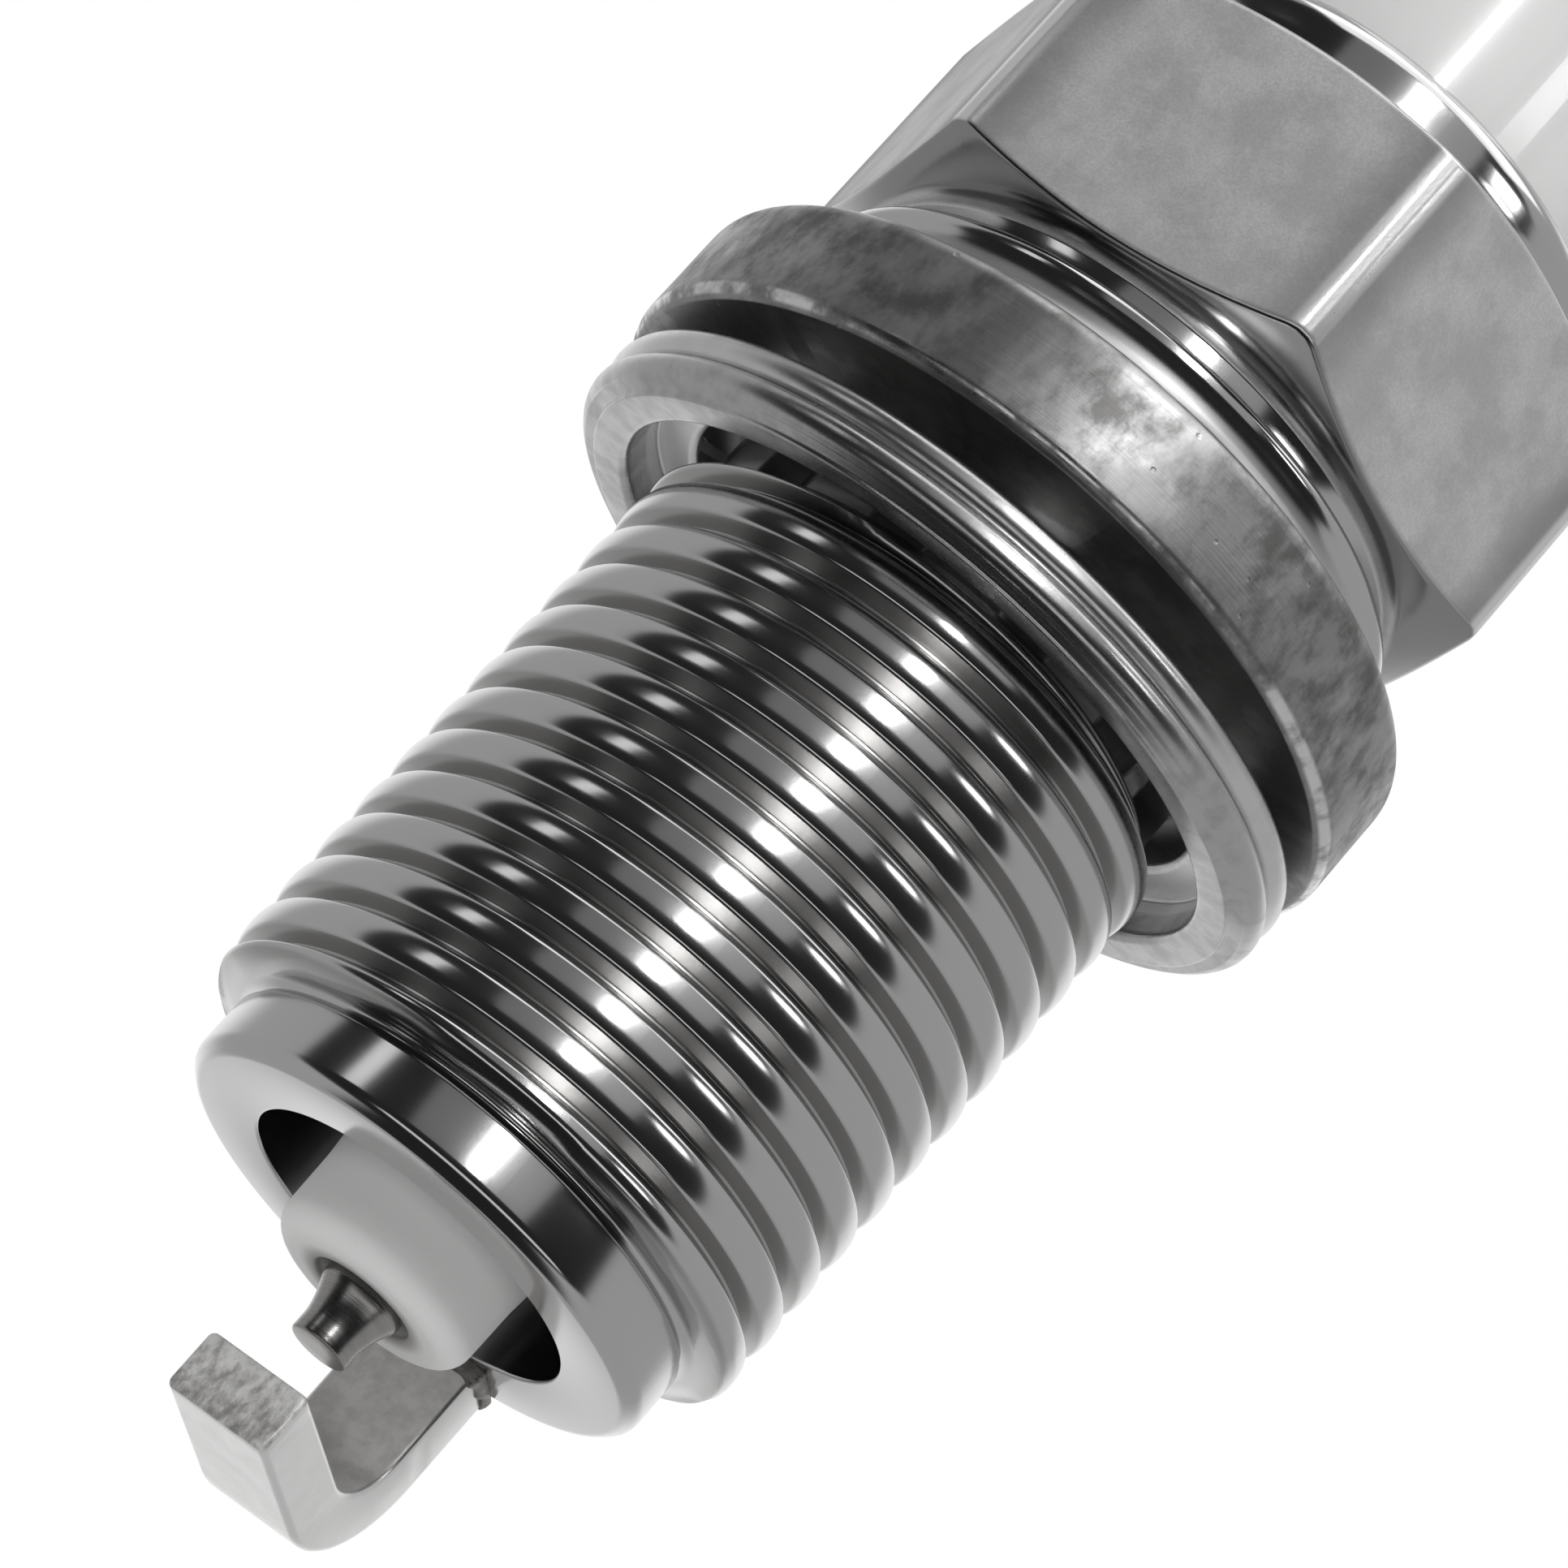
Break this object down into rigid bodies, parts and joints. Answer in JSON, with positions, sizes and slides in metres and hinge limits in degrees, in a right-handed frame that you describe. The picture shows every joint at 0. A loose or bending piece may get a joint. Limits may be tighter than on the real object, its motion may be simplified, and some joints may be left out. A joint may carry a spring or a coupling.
{
  "type": "spark plug",
  "caption": "Spark plug with a hexagon, a threaded steel shell, a captive crush gasket, a ribbed ceramic insulator, a bent earth strap and a removable push-on terminal nut.",
  "frame": {"origin": "on the plug's axis, in the plane of the collar's flat sealing seat", "axes": "+Z along the axis to the terminal, -Z down through the thread to the spark gap, +Y towards the leg of the earth strap"},
  "size_m": [0.0194, 0.0192, 0.0753],
  "materials": {
    "plated_steel": "dull nickel plating over turned and rolled steel",
    "gasket_steel": "bright plated folded sheet",
    "strap_nickel": "satin nickel alloy",
    "weld": "heat-darkened upset metal",
    "white_ceramic": "glazed above the shell, matt below",
    "packing_steel": "plain steel",
    "talc": "pressed powder",
    "electrode_nickel": "machined nickel alloy",
    "copper": "drawn copper",
    "seal_glass": "fused copper glass",
    "resistor_glass": "fused carbon glass",
    "stud_steel": "plated",
    "nut_steel": "bright nickel plating"
  },
  "bodies": {
    "plug_body": {"shell": "plated_steel", "ground_electrode": "strap_nickel", "ground_weld": "weld", "insulator": "white_ceramic", "seat_packing": "packing_steel", "lower_packing_ring": "packing_steel", "talc_packing": "talc", "upper_packing_ring": "packing_steel", "centre_electrode": "electrode_nickel", "centre_electrode_core": "copper", "lower_glass_seal": "seal_glass", "resistor": "resistor_glass", "upper_glass_seal": "seal_glass", "terminal_stud": "stud_steel"},
    "gasket_ring": {"gasket": "gasket_steel"},
    "nut": {"terminal_nut": "nut_steel"}
  },
  "joints": [
    {"name": "gasket_swing", "type": "hinge", "parent": "plug_body", "child": "gasket_ring", "pos_m": [-0.00355, 0.00835, -0.00038], "axis": [-0.9205, -0.3907, 0], "range_deg": [0, 3.4]},
    {"name": "terminal_nut_slide", "type": "slide", "parent": "plug_body", "child": "nut", "axis": [0, 0, 1], "range_m": [0, 0.008]}
  ]
}
